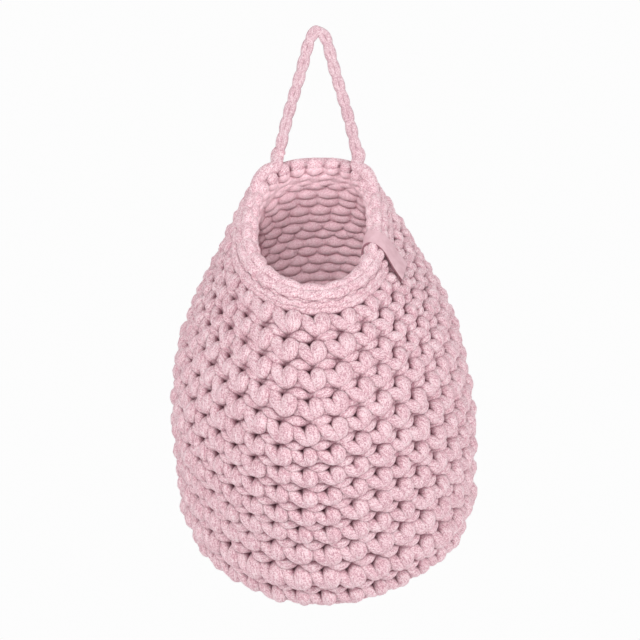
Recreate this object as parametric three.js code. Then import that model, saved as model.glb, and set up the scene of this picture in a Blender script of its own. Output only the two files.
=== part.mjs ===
// Crochet hanging bag: a round pot of single crochet in thick cord, hung by a chain handle at the back of its rim.
// Millimetres, +Z up, the mouth towards -Y. The origin is the seat of the hook, under the top of the handle.
import * as THREE from 'three';

// Driving dimensions of the pot, on the middle of its fabric
const bag_width = 146;
const bag_depth = 157;
const bag_drop = 218; // back of the rim down to the lowest round
const fabric_thickness = 11;
const round_clearance = 0.4; // between the solids of neighbouring rounds
const base_round_count = 5;
const wall_round_count = 13;

// Smooth edging round the mouth
const lip_height = 13;
const lip_thickness = 12;

// Handle: one crocheted chain, joined to the back of the rim at both ends
const handle_height = 61.8; // seat of the hook down to the hinge line
const handle_spread = 41;
const chain_width = 5.8;
const join_diameter = 8.4;
const join_clearance = 0.4;
const rim_below_hinge = 12.2; // hinge line down to the middle of the back rim

// Soft tag folded over the rim
const tag_width = 11.5;
const tag_thickness = 1.2;
const tag_clearance = 0.4;
const tag_outer_length = 14;
const tag_inner_length = 12;
const tag_lift = 0.8; // free end of the outer flap stands off
const tag_turn_share = 0.215; // place round the rim, from the front towards +X

const round_count = base_round_count + wall_round_count;
const rim_z = -handle_height - rim_below_hinge;

// Stations from the middle of the base, 0, to the last round, 1. Each gives one sloping loop of the pot.
const station_shares = [0, 0.28, 0.44, 0.61, 0.78, 1];
const half_width_shares = [0, 0.428, 0.494, 0.483, 0.402, 0.253]; // of the width
const side_shift_shares = [0.024, 0.03, 0.026, 0.01, 0.006, 0.0075]; // of the width
const lean_shares = [0, 0, 0, 0, -0.006, -0.018]; // of the width, most at the sides
const front_y_shares = [0.223, -0.127, -0.306, -0.433, -0.51, -0.459]; // of the depth
const front_drop_shares = [0.874, 0.993, 0.856, 0.715, 0.562, 0.317]; // of the drop
const back_y_shares = [0.223, 0.471, 0.483, 0.395, 0.258, 0.057];
const back_drop_shares = [0.874, 0.636, 0.456, 0.296, 0.158, 0];
const widest_shares = [0.5, 0.5, 0.5, 0.5, 0.51, 0.56]; // place of the widest point, back to front
const side_level_shares = [0.6, 0.63, 0.575, 0.475, 0.39, 0.56]; // height of the sides, from back to front
const sag_shares = [0.3, 0.3, 0.3, 0.35, 0.3, 0]; // how much of the front's fall is gathered at its middle
const turn_degrees = [-4, -4, -4, -4, -3, 0];
const back_squareness_shares = [2, 2, 2, 2, 2.1, 2.7];

const steps_round = 44; // flats round one loop
const handle_steps = 36;
const handle_sides = 8;

// Smooth value between stations, by cubic Hermite pieces with tangents from the neighbours
function along_stations(values, share) {
  const last = station_shares.length - 1;
  const tangent = (i) => {
    const low = Math.max(i - 1, 0);
    const high = Math.min(i + 1, last);
    return (values[high] - values[low]) / (station_shares[high] - station_shares[low]);
  };
  if (share > 1) return values[last] + tangent(last) * (share - 1);
  let i = 0;
  while (i < last - 1 && share > station_shares[i + 1]) i += 1;
  const span = station_shares[i + 1] - station_shares[i];
  const s = (share - station_shares[i]) / span;
  const from = (1 + 2 * s) * (1 - s) ** 2 * values[i] + s * (1 - s) ** 2 * span * tangent(i);
  const to = s * s * (3 - 2 * s) * values[i + 1] + s * s * (s - 1) * span * tangent(i + 1);
  return from + to;
}

// A point on the middle of the fabric. turn is 0 at the front and grows towards +X.
// rounds counts from the middle of the base.
function fabric_point(turn, rounds) {
  const share = rounds / round_count;
  const value = (values) => along_stations(values, share);
  const front_y = value(front_y_shares) * bag_depth;
  const back_y = value(back_y_shares) * bag_depth;
  const front_z = rim_z - value(front_drop_shares) * bag_drop;
  const back_z = rim_z - value(back_drop_shares) * bag_drop;
  const widest = value(widest_shares);
  const cosine = Math.cos(turn);
  const sine = Math.sin(turn);
  const power = cosine < 0 ? 2 / value(back_squareness_shares) : 1;
  const forward = Math.sign(cosine) * Math.abs(cosine) ** power;
  const sideways = Math.sign(sine) * Math.abs(sine) ** power;
  const place = forward > 0 ? widest + (1 - widest) * forward : widest + widest * forward;
  const sag = value(sag_shares);
  const hang = forward > 0 ? (1 - sag) * forward + sag * forward ** 3 : forward;
  const side = value(side_level_shares);
  const level = hang > 0 ? side + (1 - side) * hang : side + side * hang;
  const lean = value(lean_shares) * bag_width * sideways ** 2;
  const x = value(half_width_shares) * bag_width * sideways + lean;
  const y = (front_y - back_y) * (place - 1 / 2);
  const angle = THREE.MathUtils.degToRad(value(turn_degrees));
  return new THREE.Vector3(
    x * Math.cos(angle) - y * Math.sin(angle) + value(side_shift_shares) * bag_width,
    x * Math.sin(angle) + y * Math.cos(angle) + (front_y + back_y) / 2,
    back_z + (front_z - back_z) * level,
  );
}

// Outward normal of the fabric, from small differences
function fabric_normal(turn, rounds) {
  const step_share = 0.01;
  const across = fabric_point(turn + step_share, rounds).sub(fabric_point(turn - step_share, rounds));
  const up = fabric_point(turn, rounds + step_share).sub(fabric_point(turn, rounds - step_share));
  return across.cross(up).normalize();
}

// Length of one round's height at a place, which turns millimetres into rounds
function round_height(turn, rounds) {
  return fabric_point(turn, rounds).distanceTo(fabric_point(turn, rounds - 1));
}

// A point off the fabric: out is along the outward normal
function off_fabric(turn, rounds, out) {
  return fabric_point(turn, rounds).addScaledVector(fabric_normal(turn, rounds), out);
}

// A closed solid through rings of points. A closed path joins its last ring to its first.
// An open one is capped.
function solid_through(rings, closed_path) {
  const count = rings[0].length;
  const positions = rings.flat().flatMap((point) => [point.x, point.y, point.z]);
  const index = [];
  const ring_count = closed_path ? rings.length : rings.length - 1;
  for (let r = 0; r < ring_count; r += 1) {
    const here = r * count;
    const next = ((r + 1) % rings.length) * count;
    for (let i = 0; i < count; i += 1) {
      const j = (i + 1) % count;
      index.push(here + i, here + j, next + j, here + i, next + j, next + i);
    }
  }
  if (!closed_path) {
    const far = (rings.length - 1) * count;
    for (let i = 1; i < count - 1; i += 1) {
      index.push(0, i + 1, i, far, far + i, far + i + 1);
    }
  }
  const geometry = new THREE.BufferGeometry();
  geometry.setAttribute('position', new THREE.Float32BufferAttribute(positions, 3));
  geometry.setIndex(index);
  return geometry;
}

// Section of a course of stitches: fullest at mid height, drawn in where it meets the next course
const course_section_shares = [
  [0, -0.62], [0.5, -1], [1, -0.62], [1, 0.62], [0.5, 1], [0, 0.62],
];
// Section of the edging, rounder and closed over the top
const lip_section_shares = [
  [0, -0.7], [0.35, -1], [0.7, -0.86], [0.93, -0.45], [1, 0], [0.93, 0.45], [0.7, 0.86], [0.35, 1], [0, 0.7],
];

// A ring that goes once round the bag between two counts of rounds
function course(low, high, thickness, section_shares) {
  const rings = [];
  for (let i = 0; i < steps_round; i += 1) {
    const turn = (2 * Math.PI * i) / steps_round;
    rings.push(section_shares.map(([up, out]) => {
      const rounds = low(turn) + (high(turn) - low(turn)) * up;
      return off_fabric(turn, rounds, (out * thickness) / 2);
    }));
  }
  return solid_through(rings, true);
}

const body_cord = new THREE.MeshStandardMaterial({ color: 0xe6bcc8, roughness: 0.95, metalness: 0 });
const handle_cord = new THREE.MeshStandardMaterial({ color: 0xe4bac6, roughness: 0.95, metalness: 0 });
const tag_leather = new THREE.MeshStandardMaterial({ color: 0xdcabb9, roughness: 0.7, metalness: 0 });

const bag = new THREE.Group();
function add_piece(parent, name, geometry, material) {
  const mesh = new THREE.Mesh(geometry, material);
  mesh.name = name;
  parent.add(mesh);
  return mesh;
}

// Pot: one ring for each course, from the middle of the base up to the rim
const magic_ring_share = 0.2; // radius of the drawn-in hole in the base, of one round
for (let k = 1; k <= round_count; k += 1) {
  const name = k <= base_round_count ? `base_round_${k}` : `wall_round_${k - base_round_count}`;
  const half_gap = (turn) => round_clearance / 2 / round_height(turn, k);
  const low = (turn) => (k === 1 ? magic_ring_share : k - 1 + half_gap(turn));
  const high = (turn) => k - half_gap(turn);
  add_piece(bag, name, course(low, high, fabric_thickness, course_section_shares), body_cord);
}

// Edging: a thick smooth lip on top of the last course
const lip_low = (turn) => round_count + round_clearance / 2 / round_height(turn, round_count);
const lip_high = (turn) => round_count + lip_height / round_height(turn, round_count);
add_piece(bag, 'rim_lip', course(lip_low, lip_high, lip_thickness, lip_section_shares), body_cord);

// Joins: the slip stitches that tie each end of the chain down to the rim. The handle turns on them.
const join_radius = join_diameter / 2;
for (const side of [-1, 1]) {
  const join = add_piece(
    bag,
    side < 0 ? 'handle_join_left' : 'handle_join_right',
    new THREE.SphereGeometry(join_radius, 12, 8),
    body_cord,
  );
  join.position.set((side * handle_spread) / 2, 0, -handle_height);
}

// Handle: half its outline from the join up to the top, as shares of half the spread and of the height
const leg_shares = [
  [0.873, -0.81], [0.746, -0.647], [0.571, -0.453], [0.4, -0.259], [0.275, -0.1],
];
const crown_half_width = 3.7;
const crown_drop = 0.6; // widest point of the crown's bend below the seat
const chain_radius = chain_width / 2;
const leg_points = leg_shares.map(
  ([x, z]) => new THREE.Vector3((x * handle_spread) / 2, 0, z * handle_height),
);
const join_centre = new THREE.Vector3(handle_spread / 2, 0, -handle_height);
const leg_way = leg_points[0].clone().sub(join_centre).normalize();
const leg_foot = join_centre.clone().addScaledVector(leg_way, join_radius + join_clearance);
const right_half = [leg_foot, ...leg_points, new THREE.Vector3(crown_half_width, 0, -crown_drop)];
const left_half = right_half.map((point) => new THREE.Vector3(-point.x, 0, point.z));
const crown = new THREE.Vector3(0, 0, chain_radius);
const handle_path = new THREE.CatmullRomCurve3([...left_half, crown, ...right_half.reverse()]);
const chain_section = new THREE.Shape();
for (let i = 0; i < handle_sides; i += 1) {
  const angle = (2 * Math.PI * (i + 1 / 2)) / handle_sides;
  const x = chain_radius * Math.cos(angle);
  const y = chain_radius * Math.sin(angle);
  if (i === 0) chain_section.moveTo(x, y);
  else chain_section.lineTo(x, y);
}
chain_section.closePath();
const chain_geometry = new THREE.ExtrudeGeometry(chain_section, {
  steps: handle_steps,
  extrudePath: handle_path,
  bevelEnabled: false,
});
const handle = new THREE.Group();
add_piece(handle, 'handle_chain', chain_geometry, handle_cord);

// Tag: a strip from the free end outside, over the lip, to the sewn end inside
const tag_turn = 2 * Math.PI * tag_turn_share;
const tag_rise = round_height(tag_turn, round_count);
const lip_middle = lip_height * lip_section_shares[1][0];
const tag_bend = lip_thickness / 2 + tag_clearance + tag_thickness / 2;
const tag_crest = lip_height - lip_middle + tag_clearance + tag_thickness / 2;
const bend_steps = 8;
const outer_steps = 3;
const tag_route = [];
for (let i = 0; i < outer_steps; i += 1) {
  const share = 1 - i / outer_steps;
  tag_route.push([lip_middle - tag_outer_length * share, tag_bend + tag_lift * share ** 2]);
}
for (let i = 0; i <= bend_steps; i += 1) {
  const angle = (Math.PI * i) / bend_steps;
  tag_route.push([lip_middle + tag_crest * Math.sin(angle), tag_bend * Math.cos(angle)]);
}
tag_route.push([lip_middle - tag_inner_length, -tag_bend]);
const tag_half_turn = tag_width / 2 / fabric_point(tag_turn, round_count).distanceTo(
  fabric_point(tag_turn + 1, round_count),
);
function tag_corner(step, across, thick) {
  const [up, out] = tag_route[step];
  const before = tag_route[Math.max(step - 1, 0)];
  const after = tag_route[Math.min(step + 1, tag_route.length - 1)];
  const length = Math.hypot(after[0] - before[0], after[1] - before[1]);
  const up_out = -(after[1] - before[1]) / length;
  const out_out = (after[0] - before[0]) / length;
  const rounds = round_count + (up + (up_out * thick * tag_thickness) / 2) / tag_rise;
  return off_fabric(tag_turn + across * tag_half_turn, rounds, out + (out_out * thick * tag_thickness) / 2);
}
const tag_corners = [[-1, 1], [0, 1], [1, 1], [1, -1], [0, -1], [-1, -1]];
const tag_ring = (step) => tag_corners.map(([across, thick]) => tag_corner(step, across, thick));
const tag_rings = tag_route.map((_, step) => tag_ring(step));
add_piece(bag, 'tag', solid_through(tag_rings, false), tag_leather);

const hanging_bag = new THREE.Group();
hanging_bag.add(handle, bag);
export default hanging_bag;
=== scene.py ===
"""Crochet hanging bag: rounds of single crochet in thick heathered cotton cord, with a smooth edging
round the mouth, a chain handle at the back of the rim and a soft tag folded over the edging."""

import math
import random

import bmesh
import bpy
import numpy as np
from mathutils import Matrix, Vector


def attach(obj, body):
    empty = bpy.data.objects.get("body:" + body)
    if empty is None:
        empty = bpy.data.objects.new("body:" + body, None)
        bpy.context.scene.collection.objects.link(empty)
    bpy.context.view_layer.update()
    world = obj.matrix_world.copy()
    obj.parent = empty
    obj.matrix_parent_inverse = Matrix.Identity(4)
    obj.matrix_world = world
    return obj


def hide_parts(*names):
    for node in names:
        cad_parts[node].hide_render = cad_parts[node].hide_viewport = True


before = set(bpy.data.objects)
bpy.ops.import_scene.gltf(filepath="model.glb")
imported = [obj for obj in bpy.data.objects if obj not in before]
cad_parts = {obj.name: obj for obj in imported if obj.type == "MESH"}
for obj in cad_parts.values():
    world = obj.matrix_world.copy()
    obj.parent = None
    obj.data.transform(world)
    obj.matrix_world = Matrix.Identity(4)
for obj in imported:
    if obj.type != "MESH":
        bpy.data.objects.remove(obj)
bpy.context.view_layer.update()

MM = 0.001

# Camera: distances in metres, lens and sensor in millimetres

LOOK_POINT = Vector((0.0, 0.0, -0.150))
CAMERA_DISTANCE = 1.1
CAMERA_TURN = math.radians(2)
CAMERA_RISE = math.radians(2)
CAMERA_LENS = 116.7
CAMERA_SENSOR = 36
CAMERA_SHIFT = 0.003  # share of the picture's width
CAMERA_REACH = 30

camera_data = bpy.data.cameras.new("photo camera")
camera_data.lens = CAMERA_LENS
camera_data.sensor_width = CAMERA_SENSOR
camera_data.shift_x = CAMERA_SHIFT
camera_data.clip_end = CAMERA_REACH
camera = bpy.data.objects.new("photo camera", camera_data)
bpy.context.scene.collection.objects.link(camera)
camera_way = Vector((
    math.sin(CAMERA_TURN) * math.cos(CAMERA_RISE),
    -math.cos(CAMERA_TURN) * math.cos(CAMERA_RISE),
    math.sin(CAMERA_RISE),
))
camera.location = LOOK_POINT + camera_way * CAMERA_DISTANCE
camera.rotation_euler = camera_way.to_track_quat("Z", "Y").to_euler()
bpy.context.scene.camera = camera

# Sizes, millimetres as in the solids

BAG_WIDTH = 146
BAG_DEPTH = 157
BAG_DROP = 218
BASE_ROUNDS = 5
WALL_ROUNDS = 13
ALL_ROUNDS = BASE_ROUNDS + WALL_ROUNDS
LIP_HEIGHT = 13
LIP_THICKNESS = 12
HANDLE_HEIGHT = 61.8
HANDLE_SPREAD = 41
CHAIN_WIDTH = 5.8
RIM_BELOW_HINGE = 12.2
RIM_Z = -HANDLE_HEIGHT - RIM_BELOW_HINGE
TAG_WIDTH = 11.5
TAG_THICKNESS = 1.2
TAG_CLEARANCE = 0.4
TAG_OUTER_LENGTH = 14
TAG_INNER_LENGTH = 12
TAG_LIFT = 0.8
TAG_TURN = 2 * math.pi * 0.215

# Stations from the middle of the base, 0, to the last round, 1. Each gives one sloping loop of the bag.
STATIONS = np.array([0, 0.28, 0.44, 0.61, 0.78, 1])
HALF_WIDTH = np.array([0, 0.428, 0.494, 0.483, 0.402, 0.253]) * BAG_WIDTH
SIDE_SHIFT = np.array([0.024, 0.03, 0.026, 0.01, 0.006, 0.0075]) * BAG_WIDTH
LEAN = np.array([0, 0, 0, 0, -0.006, -0.018]) * BAG_WIDTH
FRONT_Y = np.array([0.223, -0.127, -0.306, -0.433, -0.51, -0.459]) * BAG_DEPTH
FRONT_Z = RIM_Z - np.array([0.874, 0.993, 0.856, 0.715, 0.562, 0.317]) * BAG_DROP
BACK_Y = np.array([0.223, 0.471, 0.483, 0.395, 0.258, 0.057]) * BAG_DEPTH
BACK_Z = RIM_Z - np.array([0.874, 0.636, 0.456, 0.296, 0.158, 0]) * BAG_DROP
# Place of the widest point, from the back, 0, to the front, 1
WIDEST = np.array([0.5, 0.5, 0.5, 0.5, 0.51, 0.56])
# Level of the sides, from the back's height, 0, to the front's, 1
SIDE_LEVEL = np.array([0.6, 0.63, 0.575, 0.475, 0.39, 0.56])
SAG = np.array([0.3, 0.3, 0.3, 0.35, 0.3, 0])  # how much of the front's fall is gathered at its middle
TURN = np.radians([-4, -4, -4, -4, -3, 0])
SQUARENESS = np.array([2, 2, 2, 2, 2.1, 2.7])  # of the back half, where 2 is an ellipse

NORMAL_STEP = 0.02  # radians or rounds to either side of the place where a normal is taken
POLE_ROUNDS = 0.005  # rounds that a normal's step stays away from the middle of the base
NEAREST_ROUNDS = 0.12  # rounds that a cord stays away from the middle of the base
BASE_BULGE = 3.0  # millimetres that the soft cord bulges where the base turns up into the wall
BULGE_ROUNDS = 8  # from the middle of the base on, over which it bulges


# The surface that the stitches lie on

def along_stations(values, share):
    """Smooth value between the stations, and straight on past the last one."""
    last = len(STATIONS) - 1
    tangents = np.empty(last + 1)
    for i in range(last + 1):
        low, high = max(i - 1, 0), min(i + 1, last)
        tangents[i] = (values[high] - values[low]) / (STATIONS[high] - STATIONS[low])
    inside = np.minimum(share, 1)
    i = np.clip(np.searchsorted(STATIONS, inside, side="left") - 1, 0, last - 1)
    span = STATIONS[i + 1] - STATIONS[i]
    s = (inside - STATIONS[i]) / span
    value = (1 + 2 * s) * (1 - s) ** 2 * values[i] + s * (1 - s) ** 2 * span * tangents[i]
    value = value + s * s * (3 - 2 * s) * values[i + 1] + s * s * (s - 1) * span * tangents[i + 1]
    return value + np.maximum(share - 1, 0) * tangents[last]


def fabric_point(turn, rounds):
    """Middle of the fabric. turn is 0 at the front and grows towards +X. rounds is 0 at the base's middle."""
    turn, rounds = np.broadcast_arrays(np.asarray(turn, float), np.asarray(rounds, float))
    share = rounds / ALL_ROUNDS
    front_y, back_y = along_stations(FRONT_Y, share), along_stations(BACK_Y, share)
    front_z, back_z = along_stations(FRONT_Z, share), along_stations(BACK_Z, share)
    widest = along_stations(WIDEST, share)
    cosine, sine = np.cos(turn), np.sin(turn)
    power = np.where(cosine < 0, 2 / along_stations(SQUARENESS, share), 1)
    forward = np.sign(cosine) * np.abs(cosine) ** power
    sideways = np.sign(sine) * np.abs(sine) ** power
    place = np.where(forward > 0, widest + (1 - widest) * forward, widest + widest * forward)
    sag = along_stations(SAG, share)
    hang = np.where(forward > 0, (1 - sag) * forward + sag * forward ** 3, forward)
    side = along_stations(SIDE_LEVEL, share)
    level = side + np.where(hang > 0, (1 - side) * hang, side * hang)
    x = along_stations(HALF_WIDTH, share) * sideways + along_stations(LEAN, share) * sideways ** 2
    y = (front_y - back_y) * (place - 0.5)
    angle = along_stations(TURN, share)
    return np.stack([
        x * np.cos(angle) - y * np.sin(angle) + along_stations(SIDE_SHIFT, share),
        x * np.sin(angle) + y * np.cos(angle) + (front_y + back_y) / 2,
        back_z + (front_z - back_z) * level,
    ], axis=-1)


def fabric_normal(turn, rounds):
    """Outward normal of the fabric."""
    across = fabric_point(turn + NORMAL_STEP, rounds) - fabric_point(turn - NORMAL_STEP, rounds)
    below = np.maximum(rounds - NORMAL_STEP, POLE_ROUNDS)
    up = fabric_point(turn, rounds + NORMAL_STEP) - fabric_point(turn, below)
    normal = np.cross(across, up)
    return normal / np.linalg.norm(normal, axis=-1, keepdims=True)


def off_fabric(turn, rounds, out):
    """Points out millimetres off the middle of the fabric, with the fabric's outward normals."""
    normal = fabric_normal(turn, rounds)
    bulge = BASE_BULGE * np.sin(math.pi * np.clip(rounds / BULGE_ROUNDS, 0, 1)) ** 2
    return fabric_point(turn, rounds) + normal * (out + bulge)[..., None], normal


def round_height(turn, rounds):
    """Millimetres from one round to the next up the fabric."""
    return np.linalg.norm(fabric_point(turn, rounds) - fabric_point(turn, rounds - 1), axis=-1)


def loop_turns(rounds, samples=720):
    """Length round the loop at this round, as a table of turn against millimetres."""
    turns = np.linspace(0, 2 * math.pi, samples + 1)
    points = fabric_point(turns, rounds)
    steps = np.linalg.norm(np.diff(points, axis=0), axis=1)
    return turns, np.concatenate([[0], np.cumsum(steps)])


def turn_at(share, table):
    """Turn at a share of the way round, which may pass 1 or fall below 0."""
    turns, lengths = table
    whole = np.floor(share)
    return np.interp((share - whole) * lengths[-1], lengths, turns) + whole * 2 * math.pi


# Cord paths. A row of a path is a place, a normal, the height over the fabric's middle and the cord's radius.

def smooth_path(points, closed, step, samples=8):
    """Catmull-Rom through rows of numbers, the first three of them a place, resampled to even steps."""
    points = np.asarray(points, float)
    if closed:
        rows = np.vstack([points[-1:], points, points[:2]])
    else:
        rows = np.vstack([2 * points[:1] - points[1:2], points, 2 * points[-1:] - points[-2:-1]])
    t = np.linspace(0, 1, samples, endpoint=False)[:, None]
    fine = []
    for a, b, c, d in zip(rows[:-3], rows[1:-2], rows[2:-1], rows[3:]):
        curve = 2 * b + (c - a) * t + (2 * a - 5 * b + 4 * c - d) * t ** 2
        fine.append(0.5 * (curve + (3 * b - a - 3 * c + d) * t ** 3))
    fine = np.vstack(fine)
    fine = np.vstack([fine, fine[:1] if closed else points[-1:]])
    lengths = np.concatenate([[0], np.cumsum(np.linalg.norm(np.diff(fine[:, :3], axis=0), axis=1))])
    count = max(4, round(lengths[-1] / step))
    at = np.linspace(0, lengths[-1], count, endpoint=not closed)
    return np.stack([np.interp(at, lengths, fine[:, k]) for k in range(fine.shape[1])], axis=1)


# One single crochet on its round: stitches along, rounds up, millimetres out, cord radius.
# It rises from the hole below, loops over the stitch's top and comes back down as the left leg of the V.
STITCH_LOOP = np.array([
    (0.05, 0.23, -1.4, 2.7), (0.15, 0.28, 1.2, 3.5), (0.23, 0.38, 2.8, 4.1), (0.27, 0.51, 3.5, 4.4),
    (0.26, 0.65, 2.8, 4.3), (0.13, 0.78, -0.6, 3.1), (-0.12, 0.81, -2.3, 2.6), (-0.40, 0.84, -2.2, 2.6),
    (-0.60, 0.87, -1.5, 2.6), (-0.54, 0.81, 0.4, 2.9), (-0.41, 0.69, 2.1, 3.2), (-0.24, 0.55, 3.1, 3.5),
    (-0.08, 0.42, 3.3, 3.6), (0.06, 0.31, 2.7, 3.6), (0.15, 0.23, 0.9, 3.2), (0.14, 0.19, -1.3, 2.7),
    (-0.12, 0.28, -1.6, 2.8), (-0.45, 0.38, -1.6, 2.8), (-0.76, 0.30, -1.4, 2.8),
])
STITCHES = [6, 12, 18, 24, 29, 33, 35, 36, 37, 38, 38, 37, 36, 34, 32, 29, 26, 23]
STITCH_WIDTH = 12.6
STITCH_HEIGHT = 12.2
LEAST_SWELL, MOST_SWELL, SWELL_POWER = 0.86, 1.3, 0.7
STITCH_SEED = 100
STRAY = (0.06, 0.05, 0.5)  # most that a stitch lies off its place: stitches along, rounds up, millimetres out
FATNESS = 0.08  # share by which its cord may be thinner or fatter
COLUMN_PLACE = 0.5  # millimetres from the middle of the picture to a column of stitches at the last round
COLUMN_DRIFT = -0.8  # millimetres that the columns move towards +X with each round down

# Front loops, which swell into a nub at each stitch: the value between two nubs, then what a nub adds
NUB_STEPS = 6
NUB_PLACE = 0.44  # stitches from a nub to the next column
NUB_LEVEL = 0.02  # rounds below the round's top
NUB_ROUNDS, NUB_RISE = -0.01, 0.03
NUB_OUT, NUB_OUT_SWELL = -0.4, 2.9
NUB_RADIUS, NUB_RADIUS_SWELL = 2.6, 0.8

# Hidden cords that close a round: rounds down from the round's top, millimetres out, radius
HIDDEN_CORDS = [(0.6, 0.5, 4.0), (0.48, -0.6, 3.2), (0.98, -0.6, 3.2)]
HIDDEN_STEPS = 3

# Bumps on the inside, which lie like bricks: rounds down from the round's top, bumps along
BRICK_ROWS = [(0.22, 0.5), (0.74, 0.0)]
BRICK_STEPS = 8
BRICKS_TO_A_STITCH = 1.12
BRICK_ROUNDNESS = 0.34  # lower is squarer
BRICK_IN, BRICK_IN_SWELL = 0.2, 2.6
BRICK_RADIUS, BRICK_RADIUS_SWELL = 0.7, 3.1


def fullness(turn, number, pitch):
    """How fat the cord swells where a stitch has more or less room than usual."""
    room = np.clip(round_height(turn, number) / STITCH_HEIGHT, LEAST_SWELL, MOST_SWELL)
    return min(1.0, pitch / STITCH_WIDTH) * room ** SWELL_POWER


def column_start(number, table):
    """Share of the way round at which the first column of this round's stitches stands."""
    place = COLUMN_PLACE + COLUMN_DRIFT * (ALL_ROUNDS - number)
    return (place - fabric_point(0.0, number - 0.5)[0]) / table[1][-1]


def laid_cord(number, count, table, share, rounds, out, radius):
    """A cord on its round: shares of the way round, rounds, millimetres out and radius before it swells."""
    turn = turn_at(share, table)
    full = fullness(turn, number, table[1][-1] / count)
    places, normals = off_fabric(turn, rounds, out * full)
    return np.column_stack([places, normals, out * full, radius * full])


def round_path(number):
    """The cord of one round of single crochet, closed on itself."""
    count = STITCHES[number - 1]
    table = loop_turns(number - 0.5)
    chance = random.Random(STITCH_SEED + number)
    rows = []
    for stitch in range(count, 0, -1):
        stray = [chance.uniform(-most, most) for most in STRAY]
        fat = chance.uniform(1 - FATNESS, 1 + FATNESS)
        for along, up, out, radius in STITCH_LOOP:
            rows.append((stitch + along + stray[0], up + stray[1], out + stray[2], radius * fat))
    along, up, out, radius = np.array(rows).T
    rounds = np.maximum(number - 1 + up, NEAREST_ROUNDS)
    return laid_cord(number, count, table, along / count + column_start(number, table), rounds, out, radius)


def front_loop_path(number):
    """The front loops along the top of a round, which show as a nub low between two stitches above."""
    count = STITCHES[number - 1]
    table = loop_turns(number - NUB_LEVEL)
    along = np.arange(count * NUB_STEPS) / NUB_STEPS
    nub = 0.5 + 0.5 * np.cos(2 * math.pi * (along + NUB_PLACE))
    share = along / count + column_start(number, table)
    rounds = number + NUB_ROUNDS + NUB_RISE * nub
    out = NUB_OUT + NUB_OUT_SWELL * nub
    return laid_cord(number, count, table, share, rounds, out, NUB_RADIUS + NUB_RADIUS_SWELL * nub)


def inner_path(number, down, out, radius):
    """A cord that runs hidden inside a round and closes it."""
    count = STITCHES[number - 1]
    share = np.arange(count * HIDDEN_STEPS) / (count * HIDDEN_STEPS)
    rounds = np.full(len(share), max(number - down, NEAREST_ROUNDS))
    return laid_cord(number, count, loop_turns(number - 0.5), share, rounds, out, radius)


def back_loops_path(number, down, start):
    """A row of the bumps that show on the inside of the bag."""
    count = round(STITCHES[number - 1] * BRICKS_TO_A_STITCH)
    table = loop_turns(number - down)
    along = np.arange(count * BRICK_STEPS) / BRICK_STEPS
    bump = np.abs(np.sin(math.pi * (along + start))) ** BRICK_ROUNDNESS
    share = along / count + column_start(number, table)
    rounds = np.full(len(share), max(number - down, NEAREST_ROUNDS))
    out = -(BRICK_IN + BRICK_IN_SWELL * bump)
    return laid_cord(number, count, table, share, rounds, out, BRICK_RADIUS + BRICK_RADIUS_SWELL * bump)


# One chain stitch: stitches along, then widths across and out from the middle line
CHAIN_LOOP = np.array([
    (0.1, 0.05, -0.5), (0.25, -0.12, 0.1), (0.7, -0.42, 0.35), (1.1, -0.40, 0.30),
    (1.38, 0.0, 0.15), (1.1, 0.40, 0.30), (0.7, 0.42, 0.35), (0.25, 0.12, 0.1),
    (0.1, 0.0, -0.4), (0.5, 0.1, -0.6), (0.9, 0.05, -0.55),
])


def chain_rows(count):
    """Chain stitches in a row, as stitches along, across and out."""
    return np.vstack([CHAIN_LOOP + (k, 0, 0) for k in range(count)])


# Cord swept along its path

CORD_SIDES = 12
CORD_STEP = 1.3
FABRIC_HALF_THICKNESS = 6.0  # at which a cord's rise is 1
FIBRE_TWIST = 0.045  # metres of cord in which its fibres go once round it


def wire(tree, source, target):
    tree.links.new(source, target)


def named_value(tree, name, kind):
    node = tree.nodes.new("GeometryNodeInputNamedAttribute")
    node.data_type = kind
    node.inputs["Name"].default_value = name
    return node.outputs["Attribute"]


def stored(tree, geometry, name, kind, value):
    node = tree.nodes.new("GeometryNodeStoreNamedAttribute")
    node.data_type = kind
    node.domain = "POINT"
    node.inputs["Name"].default_value = name
    wire(tree, geometry, node.inputs["Geometry"])
    wire(tree, value, node.inputs["Value"])
    return node.outputs["Geometry"]


def worked_out(tree, operation, *values):
    """Result of a sum whose terms are sockets or numbers."""
    node = tree.nodes.new("ShaderNodeMath")
    node.operation = operation
    for socket, value in zip(node.inputs, values):
        if isinstance(value, (int, float)):
            socket.default_value = value
        else:
            wire(tree, value, socket)
    return node.outputs["Value"]


def vector_worked_out(tree, operation, *values):
    node = tree.nodes.new("ShaderNodeVectorMath")
    node.operation = operation
    for socket, value in zip(node.inputs, values):
        wire(tree, value, socket)
    return node.outputs["Value" if operation == "DOT_PRODUCT" else "Vector"]


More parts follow.
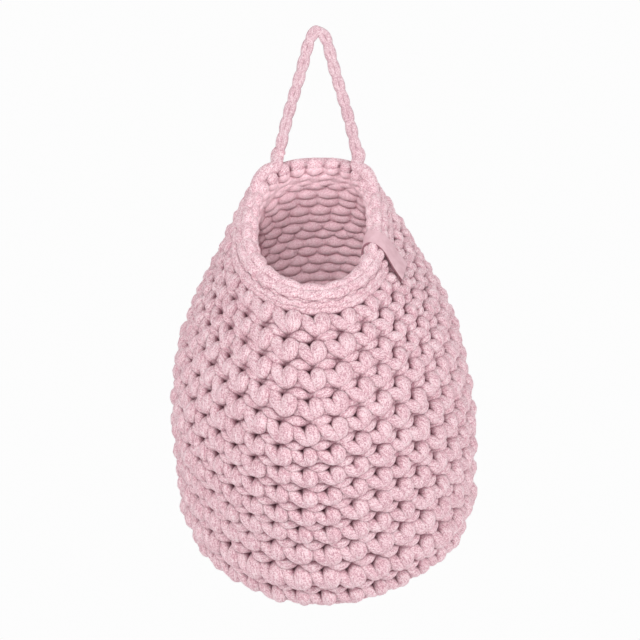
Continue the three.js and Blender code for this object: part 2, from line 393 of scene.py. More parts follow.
def swept_cord_tree():
    """Sweeps a round cord along a path of edges. Each vertex learns its place in cord and fabric."""
    tree = bpy.data.node_groups.new("cord along its path", "GeometryNodeTree")
    tree.is_modifier = True
    for name, kind in (
        ("Path", "NodeSocketGeometry"), ("Sides", "NodeSocketInt"), ("Twist", "NodeSocketFloat"),
        ("Fabric Half Thickness", "NodeSocketFloat"), ("Cord", "NodeSocketMaterial"),
    ):
        tree.interface.new_socket(name, in_out="INPUT", socket_type=kind)
    tree.interface.new_socket("Cord Mesh", in_out="OUTPUT", socket_type="NodeSocketGeometry")
    given = tree.nodes.new("NodeGroupInput").outputs
    curve = tree.nodes.new("GeometryNodeMeshToCurve")
    wire(tree, given["Path"], curve.inputs["Mesh"])
    line = curve.outputs["Curve"]
    parameter = tree.nodes.new("GeometryNodeSplineParameter")
    line = stored(tree, line, "cord_along", "FLOAT", parameter.outputs["Length"])
    position = tree.nodes.new("GeometryNodeInputPosition").outputs["Position"]
    line = stored(tree, line, "cord_middle", "FLOAT_VECTOR", position)
    circle = tree.nodes.new("GeometryNodeCurvePrimitiveCircle")
    circle.inputs["Radius"].default_value = 1
    wire(tree, given["Sides"], circle.inputs["Resolution"])
    index = tree.nodes.new("GeometryNodeInputIndex").outputs["Index"]
    angle = worked_out(tree, "DIVIDE", worked_out(tree, "MULTIPLY", index, 2 * math.pi), given["Sides"])
    section = stored(tree, circle.outputs["Curve"], "cord_around", "FLOAT", angle)
    sweep = tree.nodes.new("GeometryNodeCurveToMesh")
    sweep.inputs["Fill Caps"].default_value = True
    wire(tree, line, sweep.inputs["Curve"])
    wire(tree, section, sweep.inputs["Profile Curve"])
    radius = named_value(tree, "cord_radius", "FLOAT")
    wire(tree, radius, sweep.inputs["Scale"])
    along = named_value(tree, "cord_along", "FLOAT")
    twist = worked_out(tree, "MULTIPLY", along, given["Twist"])
    turned = worked_out(tree, "ADD", named_value(tree, "cord_around", "FLOAT"), twist)
    space = tree.nodes.new("ShaderNodeCombineXYZ")
    wire(tree, along, space.inputs["X"])
    wire(tree, worked_out(tree, "MULTIPLY", worked_out(tree, "COSINE", turned), radius), space.inputs["Y"])
    wire(tree, worked_out(tree, "MULTIPLY", worked_out(tree, "SINE", turned), radius), space.inputs["Z"])
    mesh = stored(tree, sweep.outputs["Mesh"], "cord_space", "FLOAT_VECTOR", space.outputs["Vector"])
    middle = named_value(tree, "cord_middle", "FLOAT_VECTOR")
    reach = vector_worked_out(tree, "SUBTRACT", position, middle)
    reach = vector_worked_out(tree, "DOT_PRODUCT", reach, named_value(tree, "cord_out", "FLOAT_VECTOR"))
    # A vertex's rise over the fabric's middle, by which the material paints shade in the fabric's depth and
    # paints the inside paler
    height = worked_out(tree, "ADD", reach, named_value(tree, "cord_height", "FLOAT"))
    rise = worked_out(tree, "DIVIDE", height, given["Fabric Half Thickness"])
    mesh = stored(tree, mesh, "cord_rise", "FLOAT", rise)
    for name in ("cord_along", "cord_middle", "cord_around", "cord_out", "cord_height", "cord_radius"):
        forget = tree.nodes.new("GeometryNodeRemoveAttribute")
        forget.inputs["Name"].default_value = name
        wire(tree, mesh, forget.inputs["Geometry"])
        mesh = forget.outputs["Geometry"]
    smooth = tree.nodes.new("GeometryNodeSetShadeSmooth")
    real = tree.nodes.new("GeometryNodeRealizeInstances")
    finish = tree.nodes.new("GeometryNodeSetMaterial")
    wire(tree, mesh, smooth.inputs["Geometry"])
    wire(tree, smooth.outputs["Geometry"], real.inputs["Geometry"])
    wire(tree, real.outputs["Geometry"], finish.inputs["Geometry"])
    wire(tree, given["Cord"], finish.inputs["Material"])
    wire(tree, finish.outputs["Geometry"], tree.nodes.new("NodeGroupOutput").inputs["Cord Mesh"])
    return tree


SWEPT_CORD = swept_cord_tree()


def set_input(modifier, name, value):
    """Sets a modifier's named input by its socket's identifier."""
    for item in modifier.node_group.interface.items_tree:
        if item.item_type == "SOCKET" and item.in_out == "INPUT" and item.name == name:
            modifier[item.identifier] = value
            return
    raise KeyError(name)


def cord_piece(name, paths, material, sides=CORD_SIDES, step=CORD_STEP, half_thickness=FABRIC_HALF_THICKNESS):
    """One mesh of swept cord. paths is a list of (rows, closed), with rows in millimetres."""
    points, edges, rest = [], [], []
    for rows, closed in paths:
        fine = smooth_path(rows, closed, step)
        first, count = len(points), len(fine)
        points.extend(map(tuple, fine[:, :3] * MM))
        rest.append(fine[:, 3:])
        last = count if closed else count - 1
        edges.extend((first + i, first + (i + 1) % count) for i in range(last))
    rest = np.vstack(rest)
    mesh = bpy.data.meshes.new(name + " path")
    mesh.from_pydata(points, edges, [])
    normals = rest[:, :3] / np.maximum(np.linalg.norm(rest[:, :3], axis=1, keepdims=True), 1e-9)
    mesh.attributes.new("cord_out", "FLOAT_VECTOR", "POINT").data.foreach_set("vector", normals.ravel())
    mesh.attributes.new("cord_height", "FLOAT", "POINT").data.foreach_set("value", rest[:, 3] * MM)
    mesh.attributes.new("cord_radius", "FLOAT", "POINT").data.foreach_set("value", rest[:, 4] * MM)
    line = bpy.data.objects.new(name + " path", mesh)
    bpy.context.scene.collection.objects.link(line)
    modifier = line.modifiers.new("cord", "NODES")
    modifier.node_group = SWEPT_CORD
    set_input(modifier, "Sides", sides)
    set_input(modifier, "Twist", 2 * math.pi / FIBRE_TWIST)
    set_input(modifier, "Fabric Half Thickness", half_thickness * MM)
    set_input(modifier, "Cord", material)
    dressed = line.evaluated_get(bpy.context.evaluated_depsgraph_get())
    piece_mesh = bpy.data.meshes.new_from_object(dressed)
    piece_mesh.name = name
    bpy.data.objects.remove(line)
    bpy.data.meshes.remove(mesh)
    piece = bpy.data.objects.new(name, piece_mesh)
    bpy.context.scene.collection.objects.link(piece)
    return piece


# Materials

def shader_node(tree, kind, **values):
    node = tree.nodes.new(kind)
    for name, value in values.items():
        setattr(node, name, value)
    return node


def attribute(tree, name):
    return shader_node(tree, "ShaderNodeAttribute", attribute_name=name).outputs


def stretched(tree, value, start, end, low=0.0, high=1.0, ease="LINEAR"):
    """low where the value is start, high where it is end, and kept between them."""
    node = shader_node(tree, "ShaderNodeMapRange", interpolation_type=ease)
    for name, number in (("From Min", start), ("From Max", end), ("To Min", low), ("To Max", high)):
        node.inputs[name].default_value = number
    wire(tree, value, node.inputs["Value"])
    return node.outputs["Result"]


def mixed(tree, share, first, second):
    """Colour from first to second. Each of the two is a socket or a colour."""
    node = shader_node(tree, "ShaderNodeMix", data_type="RGBA")
    for socket, value in zip((node.inputs[0], node.inputs[6], node.inputs[7]), (share, first, second)):
        if isinstance(value, tuple):
            socket.default_value = (*value, 1)
        else:
            wire(tree, value, socket)
    return node.outputs[2]


def bumped(tree, height, strength, distance):
    node = tree.nodes.new("ShaderNodeBump")
    node.inputs["Strength"].default_value = strength
    node.inputs["Distance"].default_value = distance
    wire(tree, height, node.inputs["Height"])
    return node.outputs["Normal"]


# Noises that make the heather: space, stretch, scale, detail and share of the whole
HEATHER = [
    ("Cord Space", (0.6, 1, 1), 1300, 3, 0.38),  # long fibres
    ("Own Space", (1, 1, 1), 1500, 2, 0.5),  # flecks
    ("Own Space", (1, 1, 1), 160, 2, 0.12),  # clouds
]
HEATHER_SPREAD = (0.43, 0.568)  # of the noises' sum, from the deepest colour to the palest
CREASE_RISE = (0.8, 0.1)  # rise at which the painted shade in the depth of the fabric starts, and at which it is full
# most of the painted shade in the depth of the fabric
CREASE_SHADE = 0.9
INWARD_RISE = (0, -0.5)  # rise at which the inside's painted lightening starts, and at which it is full
# most of the painted lightening on the inside
INSIDE_SHARE = 0.5
INSIDE_RELIEF = 0.85  # how much less painted shade a cord on the inside gets
FIBRE_ROUGHNESS = (0.98, 0.86)  # of the deepest fibres and of the palest


def heather_and_painted_light_group():
    """Colour and height of a soft cord of paler and deeper fibres with a slight twist, with painted shade and
    painted inside light.
    """
    tree = bpy.data.node_groups.new("heathered fibres and painted light", "ShaderNodeTree")
    for name, kind in (
        ("Cord Space", "NodeSocketVector"), ("Own Space", "NodeSocketVector"),
        ("Pale", "NodeSocketColor"), ("Middle", "NodeSocketColor"), ("Deep", "NodeSocketColor"),
        ("Painted Crease Shade", "NodeSocketColor"), ("Inside", "NodeSocketColor"),
        ("Rise", "NodeSocketFloat"), ("Painted Nearness Shade", "NodeSocketFloat"),
    ):
        tree.interface.new_socket(name, in_out="INPUT", socket_type=kind)
    for name, kind in (
        ("Color", "NodeSocketColor"), ("Height", "NodeSocketFloat"), ("Roughness", "NodeSocketFloat"),
    ):
        tree.interface.new_socket(name, in_out="OUTPUT", socket_type=kind)
    given = tree.nodes.new("NodeGroupInput").outputs
    result = tree.nodes.new("NodeGroupOutput").inputs
    layers = []
    for space, stretch, scale, detail, part in HEATHER:
        mapping = tree.nodes.new("ShaderNodeMapping")
        mapping.inputs["Scale"].default_value = stretch
        wire(tree, given[space], mapping.inputs["Vector"])
        noise = tree.nodes.new("ShaderNodeTexNoise")
        noise.inputs["Scale"].default_value = scale
        noise.inputs["Detail"].default_value = detail
        noise.inputs["Roughness"].default_value = 0.62
        wire(tree, mapping.outputs["Vector"], noise.inputs["Vector"])
        layers.append(worked_out(tree, "MULTIPLY", noise.outputs["Fac"], part))
    fibres, flecks, clouds = layers
    blend = worked_out(tree, "ADD", worked_out(tree, "ADD", fibres, flecks), clouds)
    paleness = stretched(tree, blend, *HEATHER_SPREAD)
    colour = mixed(tree, stretched(tree, paleness, 0, 0.5), given["Deep"], given["Middle"])
    colour = mixed(tree, stretched(tree, paleness, 0.5, 1), colour, given["Pale"])
    # Painted shade in the fabric's depth: the deeper a cord lies, the more its colour darkens towards the
    # crease colour
    depth = worked_out(tree, "ABSOLUTE", given["Rise"])
    crease_shade = stretched(tree, depth, *CREASE_RISE, high=CREASE_SHADE, ease="SMOOTHSTEP")
    # Painted light: cords on the bag's inside are painted paler and get less painted shade, where little
    # light reaches
    inward = stretched(tree, given["Rise"], *INWARD_RISE)
    colour = mixed(tree, worked_out(tree, "MULTIPLY", inward, INSIDE_SHARE), colour, given["Inside"])
    relief = worked_out(tree, "SUBTRACT", 1, worked_out(tree, "MULTIPLY", inward, INSIDE_RELIEF))
    # Painted shade: the stronger of the shade in the fabric's depth and the shade where cords press on each
    # other
    shade = worked_out(tree, "MAXIMUM", crease_shade, given["Painted Nearness Shade"])
    colour = mixed(tree, worked_out(tree, "MULTIPLY", shade, relief), colour, given["Painted Crease Shade"])
    wire(tree, colour, result["Color"])
    wire(tree, blend, result["Height"])
    low, high = FIBRE_ROUGHNESS
    wire(tree, stretched(tree, paleness, 0, 1, low, high), result["Roughness"])
    return tree


HEATHER_AND_PAINTED_LIGHT = heather_and_painted_light_group()

# Painted shade where cords press on each other, from ambient occlusion: reach in metres, openness where the
# painted shade starts and is full, its most
NEARNESS = [(0.0045, 0.82, 0.34, 0.8), (0.002, 0.7, 0.3, 1.0)]
NEARNESS_SAMPLES = 8
FIBRE_BUMP = (0.55, 0.0009)  # strength, and height in metres

# Pale, middle and deep make the heather. The crease colour is painted shade, and the inside colour is painted
# light, paler where little light reaches inside the bag.
BAG_COLOURS = {
    "Pale": (0.93, 0.745, 0.78), "Middle": (0.83, 0.545, 0.60), "Deep": (0.61, 0.32, 0.38),
    "Painted Crease Shade": (0.23, 0.085, 0.115), "Inside": (1.0, 0.70, 0.76),
}
HANDLE_COLOURS = {
    "Pale": (0.88, 0.69, 0.73), "Middle": (0.77, 0.52, 0.57), "Deep": (0.63, 0.38, 0.44),
    "Painted Crease Shade": (0.36, 0.16, 0.20), "Inside": (0.77, 0.52, 0.57),
}


def cord_material(name, colours):
    material = bpy.data.materials.new(name)
    material.use_nodes = True
    tree = material.node_tree
    surface = tree.nodes["Principled BSDF"]
    fibres = tree.nodes.new("ShaderNodeGroup")
    fibres.node_tree = HEATHER_AND_PAINTED_LIGHT
    for socket, colour in colours.items():
        fibres.inputs[socket].default_value = (*colour, 1)
    wire(tree, attribute(tree, "cord_space")["Vector"], fibres.inputs["Cord Space"])
    wire(tree, attribute(tree, "cord_rise")["Fac"], fibres.inputs["Rise"])
    wire(tree, tree.nodes.new("ShaderNodeTexCoord").outputs["Object"], fibres.inputs["Own Space"])
    masks = []
    # Ambient occlusion, painted into the base colour as shade where cords press on each other
    for reach, start, end, most in NEARNESS:
        nearby = shader_node(tree, "ShaderNodeAmbientOcclusion", samples=NEARNESS_SAMPLES)
        nearby.inputs["Distance"].default_value = reach
        masks.append(stretched(tree, nearby.outputs["AO"], start, end, high=most))
    wire(tree, worked_out(tree, "MAXIMUM", *masks), fibres.inputs["Painted Nearness Shade"])
    wire(tree, fibres.outputs["Color"], surface.inputs["Base Color"])
    wire(tree, fibres.outputs["Roughness"], surface.inputs["Roughness"])
    wire(tree, bumped(tree, fibres.outputs["Height"], *FIBRE_BUMP), surface.inputs["Normal"])
    surface.inputs["Specular IOR Level"].default_value = 0.18
    surface.inputs["Sheen Weight"].default_value = 0.25
    surface.inputs["Sheen Roughness"].default_value = 0.6
    surface.inputs["Sheen Tint"].default_value = (1.0, 0.86, 0.89, 1)
    return material


bag_cord = cord_material("bag cord", BAG_COLOURS)
handle_cord = cord_material("handle cord", HANDLE_COLOURS)

# Handle: one chain, hung on the hook

# A leg of the handle from its join up: shares of half the spread and of the height
HANDLE_LEG = [(0.873, -0.81), (0.746, -0.647), (0.571, -0.453), (0.4, -0.259), (0.275, -0.1)]
CROWN_SIDE = (3.7, 0, -0.6)  # where the right leg bends over the hook
CHAIN_PITCH = 8.4
CHAIN_START = 0.05  # stitches by which the chain is moved back towards its start
CHAIN_OVERLAP = 0.3  # stitches that the last one reaches past its pitch
CHAIN_REACH = 0.53  # share of the chain's width that one width of its loop takes
CHAIN_FLATNESS = 0.9
CHAIN_STRAND = 1.85
WAY_STEP = 0.5  # millimetres to either side of the place where the chain's way is taken
FACING_FRONT = np.array([0.0, -1.0, 0.0])


def handle_line():
    """Middle line of the chain from the left join over the crown to the right join."""
    right = [(HANDLE_SPREAD / 2, 0, -HANDLE_HEIGHT)]
    right += [(x * HANDLE_SPREAD / 2, 0, z * HANDLE_HEIGHT) for x, z in HANDLE_LEG] + [CROWN_SIDE]
    left = [(-x, y, z) for x, y, z in right]
    return np.array(left + [(0, 0, CHAIN_WIDTH / 2)] + right[::-1])


handle_points = smooth_path(handle_line(), False, 1.0)
handle_steps = np.linalg.norm(np.diff(handle_points, axis=0), axis=1)
handle_along = np.concatenate([[0], np.cumsum(handle_steps)])
handle_length = handle_along[-1]
handle_stitches = round(handle_length / CHAIN_PITCH)


def on_handle(along):
    """Places on the chain's middle line."""
    return np.stack([np.interp(along, handle_along, handle_points[:, k]) for k in range(3)], axis=1)


def chain_on_handle():
    """The chain stitches bent along the handle, their front towards -Y."""
    rows = chain_rows(handle_stitches)
    pitch = handle_length / (handle_stitches + CHAIN_OVERLAP)
    along = np.clip((rows[:, 0] - CHAIN_START) * pitch, 0, handle_length)
    way = on_handle(along + WAY_STEP) - on_handle(along - WAY_STEP)
    way /= np.linalg.norm(way, axis=1, keepdims=True)
    side = np.cross(way, FACING_FRONT)
    width = CHAIN_WIDTH * CHAIN_REACH
    places = on_handle(along) + side * (rows[:, 1:2] * width)
    places = places + FACING_FRONT * (rows[:, 2:3] * width * CHAIN_FLATNESS)
    count = len(rows)
    normals = np.tile(FACING_FRONT, (count, 1))
    return np.column_stack([places, normals, rows[:, 2] * width, np.full(count, CHAIN_STRAND)])


handle_paths = [(chain_on_handle(), False)]
handle = cord_piece(
    "handle_chain_stitches", handle_paths, handle_cord, sides=10, step=0.7, half_thickness=2.6,
)
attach(handle, "handle")
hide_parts("handle_chain")

# Rounds of single crochet

for number in range(1, ALL_ROUNDS + 1):
    node = f"base_round_{number}" if number <= BASE_ROUNDS else f"wall_round_{number - BASE_ROUNDS}"
    paths = [round_path(number)] + [inner_path(number, *hidden) for hidden in HIDDEN_CORDS]
    if number < ALL_ROUNDS:
        paths.append(front_loop_path(number))
    paths += [back_loops_path(number, *row) for row in BRICK_ROWS]
    crochet = cord_piece(node.replace("round", "crochet"), [(path, True) for path in paths], bag_cord)
    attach(crochet, "bag")
    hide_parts(node)

# Edging round the mouth: a braid at its foot and a smooth roll over it

LIP_PITCH = 13  # millimetres of rim to a stitch
BACK_CONTRAST, BACK_START = 1.6, 0.3  # how sharply and how far round the back of the rim begins
BRAID_HEIGHT = 3.9
ROLL_MIDDLE = (BRAID_HEIGHT + LIP_HEIGHT) / 2
ROLL_TILT = math.radians(25)
ROLL_OUT = 1.6
ROLL_WIDTH = 4.6
ROLL_DEPTH = 4.0
ROLL_RADIUS = 2.9
ROLL_BACK_DROP = 1.5  # millimetres lower at the back of the rim
ROLL_BACK_THINNING = 1.2  # millimetres thinner there
ON_TOP = 7.0  # height of a cord that lies clear of the fabric, which leaves it without painted shade
CORE_STEPS = 96
BEAD_STEPS = 6
BEAD_LEAD = 0.8  # radians by which a bead sways before it swells
BEAD_UNEVENNESS = 0.25
# Plain cords that fill the edging: millimetres up and out, radius, height that sets their painted shade
LIP_CORES = [
    (ROLL_MIDDLE, 0.4, 3.6, 9.0),
    (BRAID_HEIGHT / 2, -0.6, 4.6, -8.0),
    (-0.3, 2.2, 2.7, 6.0),
    (BRAID_HEIGHT + 0.7, 2.5, 2.2, ON_TOP),
]
# Strands that show: beads to a stitch, up, out, radius, swell, sway, height that sets the painted shade, more
# swell at the back
LIP_STRANDS = [
    (1.6, BRAID_HEIGHT / 2 + 0.3, 3.6, 2.0, 0.2, 0.45, ON_TOP, 0.0),
    (1.2, ROLL_MIDDLE + 1.2, -1.0, 3.2, 0.15, 0.5, 8.0, 0.75),
    (1.2, ROLL_MIDDLE - 0.9, -2.4, 2.9, 0.3, 0.5, -8.0, 0.4),
    (1, BRAID_HEIGHT * 0.9, -3.5, 2.2, 0.3, 0.8, -5.0, 0.0),
    (1, -0.4, -3.3, 2.2, 0.3, 0.8, -5.0, 0.0),
]

rim_table = loop_turns(ALL_ROUNDS)
lip_stitches = round(rim_table[1][-1] / LIP_PITCH)


def rim_place(share, up, out):
    """A place by the rim: share of the way round, millimetres up from the last round, millimetres out."""
    turn = turn_at(share, rim_table)
    rounds = ALL_ROUNDS + up / round_height(turn, np.full_like(turn, ALL_ROUNDS))
    return off_fabric(turn, rounds, out)


def backness(share):
    """0 at the front and sides of the rim, 1 at its back."""
    back = np.clip(-BACK_CONTRAST * np.cos(turn_at(share, rim_table)) - BACK_START, 0, 1)
    return back * back * (3 - 2 * back)


def lip_chain():
    """The last course of slip stitches, pulled smooth, which makes the roll of the edging."""
    rows = chain_rows(lip_stitches)
    share = rows[:, 0] / lip_stitches
    back = backness(share)
    across, over = rows[:, 1] * ROLL_WIDTH, rows[:, 2] * ROLL_DEPTH
    up = ROLL_MIDDLE - ROLL_BACK_DROP * back + across * math.cos(ROLL_TILT) + over * math.sin(ROLL_TILT)
    out = ROLL_OUT - across * math.sin(ROLL_TILT) + over * math.cos(ROLL_TILT)
    places, normals = rim_place(share, up, out)
    radius = ROLL_RADIUS - ROLL_BACK_THINNING * back
    return np.column_stack([places, normals, np.full(len(rows), ON_TOP), radius])


def lip_core(up, out, radius, height):
    """A plain cord round the rim."""
    share = np.arange(CORE_STEPS) / CORE_STEPS
    places, normals = rim_place(share, np.full(CORE_STEPS, up), np.full(CORE_STEPS, out))
    return np.column_stack([places, normals, np.full(CORE_STEPS, height), np.full(CORE_STEPS, radius)])


def lip_strand(beads_to_a_stitch, up, out, radius, swell, sway, height, back_growth):
    """A strand round the rim that swells and sways, and swells more at the back."""
    count = round(lip_stitches * beads_to_a_stitch)
    along = np.arange(count * BEAD_STEPS) / BEAD_STEPS
    chance = random.Random(round(100 * up))
    fatness = [chance.uniform(1 - BEAD_UNEVENNESS, 1 + BEAD_UNEVENNESS) for _ in range(count)]
    swell = (swell + back_growth * backness(along / count)) * np.repeat(fatness, BEAD_STEPS)
    wave = np.cos(2 * math.pi * along)
    lead = np.cos(2 * math.pi * along + BEAD_LEAD)
    places, normals = rim_place(along / count, up + sway * lead, out + np.sign(out) * swell * wave)
    return np.column_stack([places, normals, np.full(len(along), height), radius + swell * wave])


lip_paths = [lip_chain()] + [lip_core(*core) for core in LIP_CORES]
lip_paths += [lip_strand(*strand) for strand in LIP_STRANDS]
lip = cord_piece("edging", [(path, True) for path in lip_paths], bag_cord)
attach(lip, "bag")
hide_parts("rim_lip")

# Joins of the handle

WRAP_TURNS = 2.2
WRAP_STEPS = 30
WRAP_WIDTH = 3.2
WRAP_RADIUS = 1.9
WRAP_DROP = 0.8
WRAP_CORD = 1.7
# The tail's start at the join: millimetres sideways and up, radius
TAIL_START = [(0.2, 2.2, 2.5), (1.6, -0.8, 3.1)]
# Its way along the rim: share of the way round, millimetres down from the lip's top, millimetres out, radius
TAIL_WAY = [
    (0.02, 0.0, 0.8, 3.5), (0.045, 0.4, 2.2, 3.6), (0.07, 1.5, 2.4, 3.4),
    (0.095, 3.0, 1.6, 3.0), (0.12, 4.8, 0.6, 2.3),
]
RIM_SAMPLES = 400


def facing_front(places, radius):
    """Rows of a path whose cord lies clear of the fabric and faces the front."""
    count = len(places)
    return np.column_stack([places, np.tile(FACING_FRONT, (count, 1)), np.full(count, ON_TOP), radius])


def join_wraps(centre):
    """The cord wound round the chain's end."""
    turns = np.linspace(0, 2 * math.pi * WRAP_TURNS, WRAP_STEPS)
    across = (turns / turns[-1] - 0.5) * WRAP_WIDTH
    ring = np.stack([across, WRAP_RADIUS * np.sin(turns), WRAP_RADIUS * np.cos(turns) - WRAP_DROP], axis=1)
    return facing_front(centre + ring, np.full(WRAP_STEPS, WRAP_CORD))


def join_tail(centre, side):
    """The cord's way on from the join, down the shoulder of the edging, where it sinks in."""
    shares = np.linspace(0, 1, RIM_SAMPLES)
    places, _ = rim_place(shares, np.full(RIM_SAMPLES, LIP_HEIGHT), np.zeros(RIM_SAMPLES))
    nearest = shares[np.argmin(np.linalg.norm(places - centre, axis=1))]
    along, down, out, way_radius = np.array(TAIL_WAY).T
    lower, _ = rim_place(nearest - side * along, LIP_HEIGHT - down, out)
    upper = [centre + (side * sideways, 0, up) for sideways, up, _ in TAIL_START]
    radius = [start[2] for start in TAIL_START] + list(way_radius)
    return facing_front(np.vstack(upper + [lower]), radius)


for side, word in ((-1, "left"), (1, "right")):
    centre = np.array([side * HANDLE_SPREAD / 2, 0, -HANDLE_HEIGHT])
    join_paths = [(join_wraps(centre), False), (join_tail(centre, side), False)]
    knot = cord_piece(f"join_{word}", join_paths, bag_cord, step=0.8)
    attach(knot, "bag")
    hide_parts(f"handle_join_{word}")

# Tag: a soft strip folded over the edging

TAG_FOLD_SHARE = 0.35  # of the lip's height, the level about which the strip bends
TAG_OUTER_SHARES = (1, 0.8, 0.6, 0.4, 0.2)
TAG_INNER_SHARES = (0.25, 0.5, 0.75, 1)
TAG_BEND_STEPS = 17
TAG_STEP = 0.7
TAG_SIDES = 32
TAG_ROUNDNESS = 0.22  # of its section, where lower is squarer
TAG_END_SHARES = (0.0, 0.72, 1.0)  # thickness over its rounded ends
TAG_END_NARROWING = 0.1  # share by which it is narrower at its very ends
TAG_TURN_STEP = 0.05
CUT_EDGE_START, CUT_EDGE_FULL = 0.12, 0.34
CUT_COLOUR = (0.30, 0.14, 0.17)
# Places in the mottle, with the colour at each
LEATHER_COLOURS = [(0.3, (0.68, 0.42, 0.47)), (0.7, (0.80, 0.55, 0.60))]
LEATHER_BUMP = (0.25, 0.0002)  # strength, and height in metres


def tag_line():
    """Middle line of the strip from its outer end to its inner end: up and out from the last round."""
    middle = LIP_HEIGHT * TAG_FOLD_SHARE
    bend = LIP_THICKNESS / 2 + TAG_CLEARANCE + TAG_THICKNESS / 2
    crest = LIP_HEIGHT - middle + TAG_CLEARANCE + TAG_THICKNESS / 2
    line = [(middle - TAG_OUTER_LENGTH * k, bend + TAG_LIFT * k ** 2) for k in TAG_OUTER_SHARES]
    for angle in np.linspace(0, math.pi, TAG_BEND_STEPS):
        line.append((middle + crest * math.sin(angle), bend * math.cos(angle)))
    line += [(middle - TAG_INNER_LENGTH * k, -bend) for k in TAG_INNER_SHARES]
    return np.array([(up, out, 0) for up, out in line])


def tag_skin(line):
    """Rings of points round the strip, end to end, and how near each point is to the cut edge."""
    way = np.gradient(line, axis=0)
    way /= np.linalg.norm(way, axis=1, keepdims=True)
    rise = float(round_height(np.float64(TAG_TURN), np.float64(ALL_ROUNDS)))
    ahead = fabric_point(TAG_TURN + TAG_TURN_STEP, ALL_ROUNDS)
    ahead = ahead - fabric_point(TAG_TURN - TAG_TURN_STEP, ALL_ROUNDS)
    turn_per_mm = 2 * TAG_TURN_STEP / np.linalg.norm(ahead)
    angle = 2 * math.pi * (np.arange(TAG_SIDES) + 0.5) / TAG_SIDES
    across = np.sign(np.sin(angle)) * np.abs(np.sin(angle)) ** TAG_ROUNDNESS * TAG_WIDTH / 2
    thick = np.sign(np.cos(angle)) * np.abs(np.cos(angle)) ** TAG_ROUNDNESS * TAG_THICKNESS / 2
    last = len(line) - 1
    rings = [(0, full) for full in TAG_END_SHARES] + [(i, 1.0) for i in range(1, last)]
    rings += [(last, full) for full in TAG_END_SHARES[::-1]]
    points, cuts = [], []
    for i, full in rings:
        up = line[i, 0] - way[i, 1] * thick * full
        out = line[i, 1] + way[i, 0] * thick * full
        turn = TAG_TURN + across * (1 - TAG_END_NARROWING + TAG_END_NARROWING * full) * turn_per_mm
        places, _ = off_fabric(turn, ALL_ROUNDS + up / rise, out)
        points.extend(places * MM)
        cuts.extend(1 - np.abs(thick) * full * 2 / TAG_THICKNESS)
    return points, cuts, len(rings)


def tag_piece():
    line = smooth_path(tag_line(), False, TAG_STEP)[:, :2]
    length = np.linalg.norm(np.diff(line, axis=0), axis=1).sum()
    points, cuts, rings = tag_skin(line)
    faces = []
    for r in range(rings - 1):
        for k in range(TAG_SIDES):
            n = (k + 1) % TAG_SIDES
            here, there = r * TAG_SIDES, (r + 1) * TAG_SIDES
            faces.append((here + k, here + n, there + n, there + k))
    mesh = bpy.data.meshes.new("tag")
    mesh.from_pydata([tuple(point) for point in points], [], faces)
    mesh.attributes.new("cut_edge", "FLOAT", "POINT").data.foreach_set("value", cuts)
    grid = bmesh.new()
    grid.from_mesh(mesh)
    bmesh.ops.holes_fill(grid, edges=[edge for edge in grid.edges if edge.is_boundary], sides=0)
    bmesh.ops.remove_doubles(grid, verts=grid.verts, dist=0.00002)
    bmesh.ops.recalc_face_normals(grid, faces=grid.faces)
    grid.to_mesh(mesh)
    grid.free()
    for polygon in mesh.polygons:
        polygon.use_smooth = True
    piece = bpy.data.objects.new("folded_tag", mesh)
    bpy.context.scene.collection.objects.link(piece)
    return piece, length


def soft_leather():
    """Mottled imitation leather with fine pores and a darker cut edge."""
    material = bpy.data.materials.new("soft imitation leather")
    material.use_nodes = True
    tree = material.node_tree
    surface = tree.nodes["Principled BSDF"]
    place = tree.nodes.new("ShaderNodeTexCoord").outputs["Object"]
    pores = tree.nodes.new("ShaderNodeTexVoronoi")
    pores.inputs["Scale"].default_value = 1500
    wire(tree, place, pores.inputs["Vector"])
    mottle = tree.nodes.new("ShaderNodeTexNoise")
    mottle.inputs["Scale"].default_value = 260
    mottle.inputs["Detail"].default_value = 4
    wire(tree, place, mottle.inputs["Vector"])
    ramp = tree.nodes.new("ShaderNodeValToRGB")
    wire(tree, mottle.outputs["Fac"], ramp.inputs["Fac"])
    for element, (position, colour) in zip(ramp.color_ramp.elements, LEATHER_COLOURS):
        element.position = position
        element.color = (*colour, 1)
    cut = stretched(tree, attribute(tree, "cut_edge")["Fac"], CUT_EDGE_START, CUT_EDGE_FULL)
    wire(tree, mixed(tree, cut, ramp.outputs["Color"], CUT_COLOUR), surface.inputs["Base Color"])
    wire(tree, bumped(tree, pores.outputs["Distance"], *LEATHER_BUMP), surface.inputs["Normal"])
    surface.inputs["Roughness"].default_value = 0.62
    surface.inputs["Specular IOR Level"].default_value = 0.3
    return material


tag, tag_length = tag_piece()
tag.data.materials.append(soft_leather())
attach(tag, "bag")
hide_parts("tag")

# Floor, backdrop and light, in metres and watts

FLOOR_REACH = 0.9
FLOOR_Z = -0.7
FLOOR_GLOW = 0.4
WORLD_LIGHT = 0.34
BACKDROP_LIGHT = 0.98
# Name, place, aim, size, power
SOFT_LIGHTS = [
    ("high softbox", (-0.3, -0.9, 0.9), (0, 0, -0.16), 0.6, 2.6),
    ("key softbox", (-0.75, -1.35, 0.35), (0, 0, -0.16), 0.3, 3.4),
    ("face softbox", (0.04, -1.6, 0.02), (0, 0, -0.14), 0.4, 1.5),
    ("left softbox", (-1.3, -0.8, 0.1), (0, 0, -0.17), 1.2, 6.8),
    ("right softbox", (1.3, -0.8, 0.1), (0, 0, -0.17), 0.6, 10.4),
    ("rear softbox", (0.4, 1.5, 0.5), (0, 0, -0.16), 0.8, 12.0),
    ("low softbox", (0.1, -1.3, -0.9), (0, 0, -0.24), 0.6, 5.4),
]
SNOOT_PLACE = (0.03, -1.6, 0.20)
SNOOT_AIM = (-0.003, 0.037, -0.112)  # the inside of the bag's back, seen through the mouth
SNOOT_POWER = 46
SNOOT_CONE = math.radians(3.3)


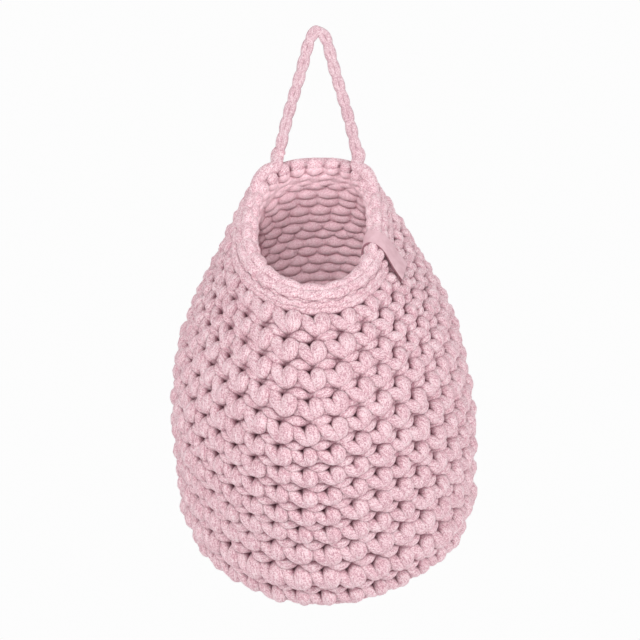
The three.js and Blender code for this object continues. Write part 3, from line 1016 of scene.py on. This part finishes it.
def add_floor():
    corners = [(-1, -1), (1, -1), (1, 1), (-1, 1)]
    mesh = bpy.data.meshes.new("studio floor")
    mesh.from_pydata([(x * FLOOR_REACH, y * FLOOR_REACH, FLOOR_Z) for x, y in corners], [], [(0, 1, 2, 3)])
    floor = bpy.data.objects.new("studio_floor", mesh)
    bpy.context.scene.collection.objects.link(floor)
    paint = bpy.data.materials.new("pale floor paint")
    paint.use_nodes = True
    tree = paint.node_tree
    surface = tree.nodes["Principled BSDF"]
    surface.inputs["Base Color"].default_value = (0.9, 0.9, 0.9, 1)
    surface.inputs["Roughness"].default_value = 0.9
    surface.inputs["Emission Color"].default_value = (1, 1, 1, 1)
    watched = tree.nodes.new("ShaderNodeLightPath").outputs["Is Camera Ray"]
    wire(tree, worked_out(tree, "MULTIPLY", watched, FLOOR_GLOW), surface.inputs["Emission Strength"])
    mesh.materials.append(paint)


def add_backdrop():
    """A dim white world that looks bright to the camera."""
    world = bpy.data.worlds.new("white studio")
    bpy.context.scene.world = world
    world.use_nodes = True
    tree = world.node_tree
    lighting = tree.nodes["Background"]
    backdrop = tree.nodes.new("ShaderNodeBackground")
    for background, strength in ((lighting, WORLD_LIGHT), (backdrop, BACKDROP_LIGHT)):
        background.inputs["Color"].default_value = (1, 1, 1, 1)
        background.inputs["Strength"].default_value = strength
    choice = tree.nodes.new("ShaderNodeMixShader")
    wire(tree, tree.nodes.new("ShaderNodeLightPath").outputs["Is Camera Ray"], choice.inputs["Fac"])
    wire(tree, lighting.outputs["Background"], choice.inputs[1])
    wire(tree, backdrop.outputs["Background"], choice.inputs[2])
    wire(tree, choice.outputs["Shader"], tree.nodes["World Output"].inputs["Surface"])


def add_lamp(name, data, place, aim):
    lamp = bpy.data.objects.new(name, data)
    bpy.context.scene.collection.objects.link(lamp)
    lamp.location = place
    lamp.rotation_euler = (Vector(place) - Vector(aim)).to_track_quat("Z", "Y").to_euler()


def add_soft_light(name, place, aim, size, power):
    data = bpy.data.lights.new(name, "AREA")
    data.shape = "DISK"
    data.size = size
    data.energy = power
    add_lamp(name, data, place, aim)


def add_snoot():
    """A narrow light that reaches into the mouth."""
    data = bpy.data.lights.new("mouth snoot", "SPOT")
    data.energy = SNOOT_POWER
    data.spot_size = SNOOT_CONE
    data.spot_blend = 0.9
    data.shadow_soft_size = 0.015
    add_lamp("mouth snoot", data, SNOOT_PLACE, SNOOT_AIM)


add_floor()
add_backdrop()
for soft_light in SOFT_LIGHTS:
    add_soft_light(*soft_light)
add_snoot()
bpy.context.scene.view_settings.view_transform = "Standard"
